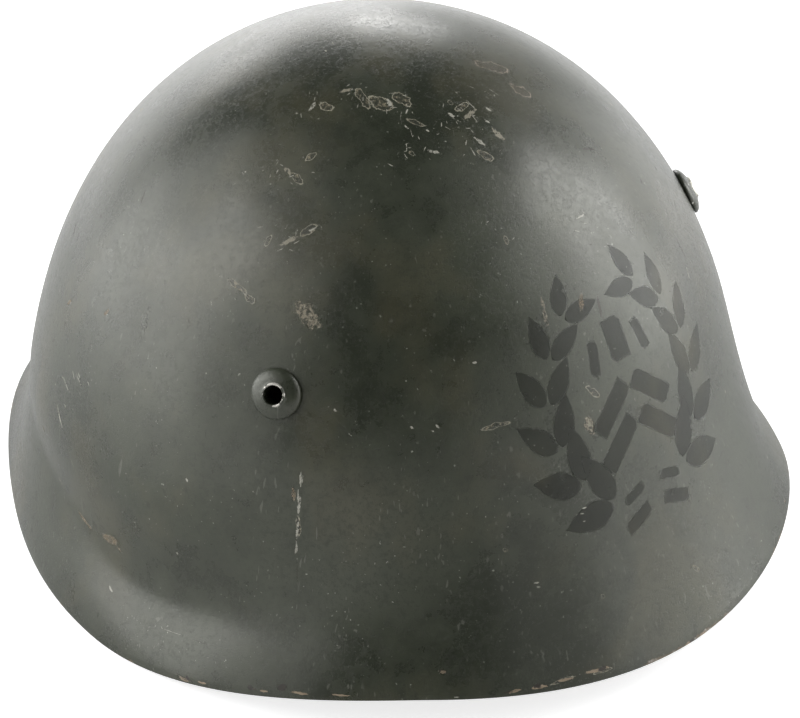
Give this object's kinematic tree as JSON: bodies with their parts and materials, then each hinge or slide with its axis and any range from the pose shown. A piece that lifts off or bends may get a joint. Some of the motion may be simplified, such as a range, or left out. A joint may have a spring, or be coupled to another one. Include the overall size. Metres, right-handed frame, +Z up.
{
  "type": "military helmet",
  "caption": "Pressed steel combat helmet with a flared visor and nape, hollow vent rivets, a sprung band with a tongued leather liner, and a swinging leather chinstrap.",
  "frame": {"origin": "middle of the helmet's length and width, on the surface that the rim stands on", "axes": "+Z up through the crown, front of the helmet towards -Y, wearer's right towards -X"},
  "size_m": [0.2428, 0.2836, 0.1645],
  "materials": {
    "shell_paint": "satin grey-green paint, worn and chipped",
    "liner_steel": "dark grey-green lacquer",
    "bare_steel": "dull bare steel",
    "felt": "grey-green felt",
    "leather": "aged brown-grey vegetable-tanned leather"
  },
  "bodies": {
    "helmet": {"shell": "shell_paint", "vent_rivet_right": "shell_paint", "vent_rivet_left": "shell_paint", "vent_rivet_rear": "shell_paint", "leaf_spring_right": "liner_steel", "leaf_spring_left": "liner_steel", "leaf_spring_rear": "liner_steel", "leaf_rivets": "liner_steel", "liner_band": "liner_steel", "band_rivets": "liner_steel", "felt_strip": "felt", "sweatband": "leather", "liner_tongues": "leather", "pivot_rivet_right": "liner_steel", "pivot_rivet_left": "liner_steel"},
    "chinstrap": {"hanger_right": "liner_steel", "hanger_left": "liner_steel", "strap_ring_right": "bare_steel", "strap_ring_left": "bare_steel", "strap_long": "leather", "strap_short": "leather", "strap_rivets": "bare_steel", "buckle_frame": "bare_steel"},
    "buckle_bar": {"buckle_bar": "bare_steel"},
    "keeper": {"strap_keeper": "leather"}
  },
  "joints": [
    {"name": "chinstrap_swing", "type": "hinge", "parent": "helmet", "child": "chinstrap", "pos_m": [0, -0.00642, 0.056], "axis": [1, 0, 0], "range_deg": [0, 132]},
    {"name": "buckle_slide", "type": "slide", "parent": "chinstrap", "child": "buckle_bar", "axis": [0.1736, 0.9074, 0.3828], "range_m": [0, 0.0018]},
    {"name": "keeper_slide", "type": "slide", "parent": "chinstrap", "child": "keeper", "axis": [-0.1736, -0.9074, -0.3828], "range_m": [-0.0025, 0.006]}
  ]
}
